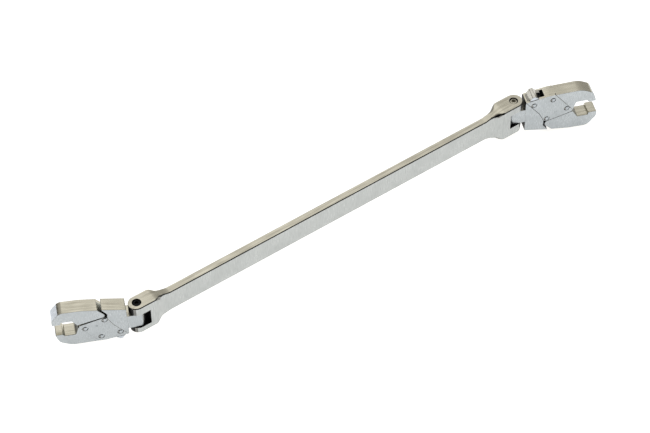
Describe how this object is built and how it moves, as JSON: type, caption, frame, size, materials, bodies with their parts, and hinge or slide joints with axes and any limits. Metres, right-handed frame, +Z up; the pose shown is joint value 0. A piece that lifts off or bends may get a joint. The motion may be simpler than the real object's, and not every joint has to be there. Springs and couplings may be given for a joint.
{
  "type": "ratchet wrench",
  "caption": "Double-ended flex-head ratcheting jaw wrench: a forged bar with a fork at each end, each holding a swivelling head with a sprung moving jaw and a thumb slider.",
  "frame": {"origin": "on the surface that the tool stands on, under the middle of its bounding box", "axes": "+Z up, along both flex pins; +X along the handle from the 10 mm head to the 11 mm head; -Y is the side with the front covers"},
  "size_m": [0.3076, 0.0398, 0.0292],
  "materials": {
    "satin_chrome": "satin chrome plate on forged steel, brushed lengthwise",
    "satin_chrome_plate": "satin chrome plate on stamped steel",
    "polished_rivet": "plated rivet head, ground flush",
    "black_screw": "black oxide on alloy steel",
    "spring_steel": "drawn spring wire, light oil"
  },
  "bodies": {
    "handle": {"handle": "satin_chrome", "small_flex_screw": "black_screw", "small_friction_plunger": "black_screw", "small_plunger_spring": "spring_steel", "large_flex_screw": "black_screw", "large_friction_plunger": "black_screw", "large_plunger_spring": "spring_steel"},
    "small_head": {"small_head_body": "satin_chrome", "small_front_cover": "satin_chrome_plate", "small_back_cover": "satin_chrome_plate", "small_cover_rivet_1": "polished_rivet", "small_cover_rivet_2": "polished_rivet", "small_cover_rivet_3": "polished_rivet", "small_jaw_pivot": "polished_rivet", "small_jaw_spring": "spring_steel"},
    "small_jaw": {"small_moving_jaw": "satin_chrome"},
    "small_slider": {"small_thumb_slider": "satin_chrome_plate"},
    "large_head": {"large_head_body": "satin_chrome", "large_front_cover": "satin_chrome_plate", "large_back_cover": "satin_chrome_plate", "large_cover_rivet_1": "polished_rivet", "large_cover_rivet_2": "polished_rivet", "large_cover_rivet_3": "polished_rivet", "large_jaw_pivot": "polished_rivet", "large_jaw_spring": "spring_steel"},
    "large_jaw": {"large_moving_jaw": "satin_chrome"},
    "large_slider": {"large_thumb_slider": "satin_chrome_plate"}
  },
  "joints": [
    {"name": "small_flex", "type": "hinge", "parent": "handle", "child": "small_head", "pos_m": [-0.11532, -0.00033, 0.01529], "axis": [0, 0, 1], "range_deg": [-65.3, 114.7]},
    {"name": "small_jaw_open", "type": "hinge", "parent": "small_head", "child": "small_jaw", "pos_m": [-0.12981, 0.00633, 0.01965], "axis": [0.4179, 0.9085, 0], "range_deg": [0, 7], "stiffness_Nm_per_rad": 0.05, "springref_deg": -20.05, "deforming": ["small_jaw_spring"]},
    {"name": "small_slider_push", "type": "slide", "parent": "small_head", "child": "small_slider", "axis": [-0.8935, 0.411, -0.1809], "range_m": [0, 0.0014]},
    {"name": "large_flex", "type": "hinge", "parent": "handle", "child": "large_head", "pos_m": [0.11078, -0.00033, 0.01529], "axis": [0, 0, 1], "range_deg": [-68.7, 111.3]},
    {"name": "large_jaw_open", "type": "hinge", "parent": "large_head", "child": "large_jaw", "pos_m": [0.12713, -0.0067, 0.01049], "axis": [0.3633, 0.9317, 0], "range_deg": [0, 7], "stiffness_Nm_per_rad": 0.05, "springref_deg": -20.05, "deforming": ["large_jaw_spring"]},
    {"name": "large_slider_push", "type": "slide", "parent": "large_head", "child": "large_slider", "axis": [0.9163, -0.3573, 0.1809], "range_m": [0, 0.00154]}
  ],
  "couplings": [
    {"joint": "small_slider_push", "follows": "small_jaw_open", "m_per_rad": 0.01124},
    {"joint": "large_slider_push", "follows": "large_jaw_open", "m_per_rad": 0.012364}
  ]
}
